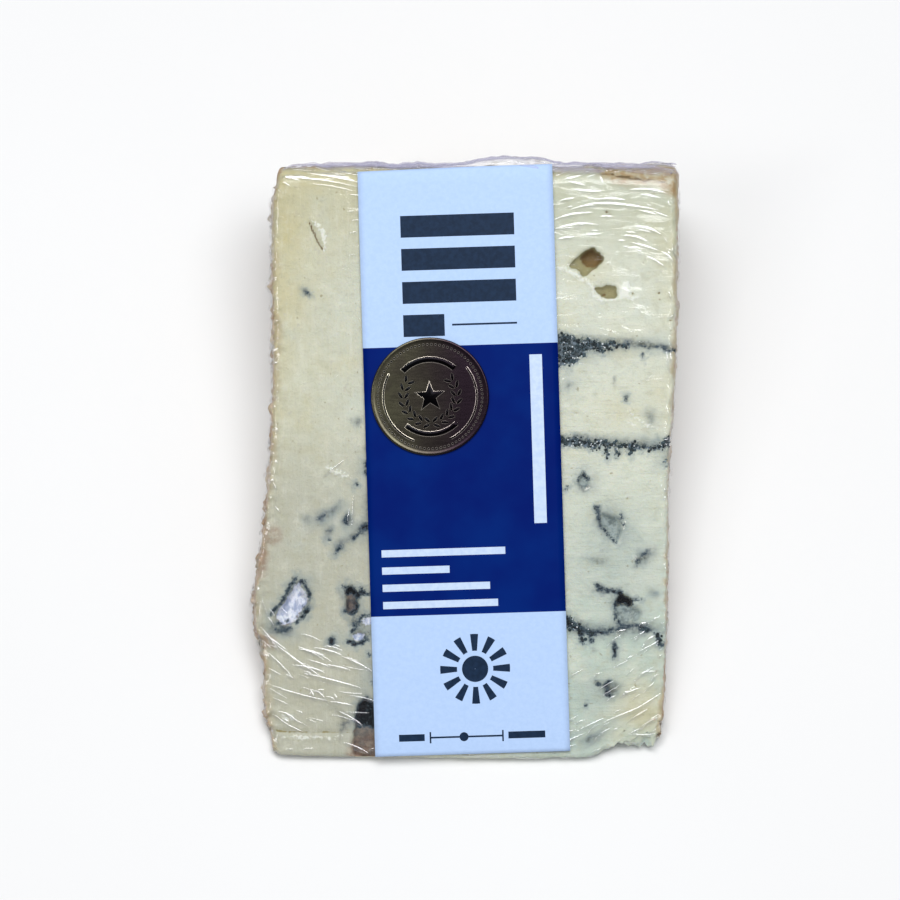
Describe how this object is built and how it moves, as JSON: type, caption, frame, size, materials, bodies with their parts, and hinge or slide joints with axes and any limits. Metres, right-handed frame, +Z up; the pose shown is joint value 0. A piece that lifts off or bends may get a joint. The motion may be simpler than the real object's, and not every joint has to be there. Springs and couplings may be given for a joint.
{
  "type": "cheese wedge",
  "caption": "Wedge of blue-veined cheese with natural rind, wrapped in clear film, with a paper label and a round foil seal on its upper cut face.",
  "frame": {"origin": "middle of the footprint, on the surface that the wedge's lower cut face lies on", "axes": "+Y runs from the thin nose to the thick rind, +Z is up from the lower cut face, and X runs through the wheel's height between the two flat rinds"},
  "size_m": [0.069, 0.0958, 0.0338],
  "materials": {
    "cheese": "creamy ivory paste with blue-green mould, satin, with a thin pink-brown rind",
    "film": "clear stretch film, glossy, wrinkled",
    "label": "satin coated paper, pale blue-white with a deep blue panel",
    "seal": "dark bronze foil, embossed, glossy"
  },
  "bodies": {
    "root": {"cheese": "cheese", "film_wrap": "film", "front_label": "label", "foil_seal": "seal"}
  },
  "joints": []
}
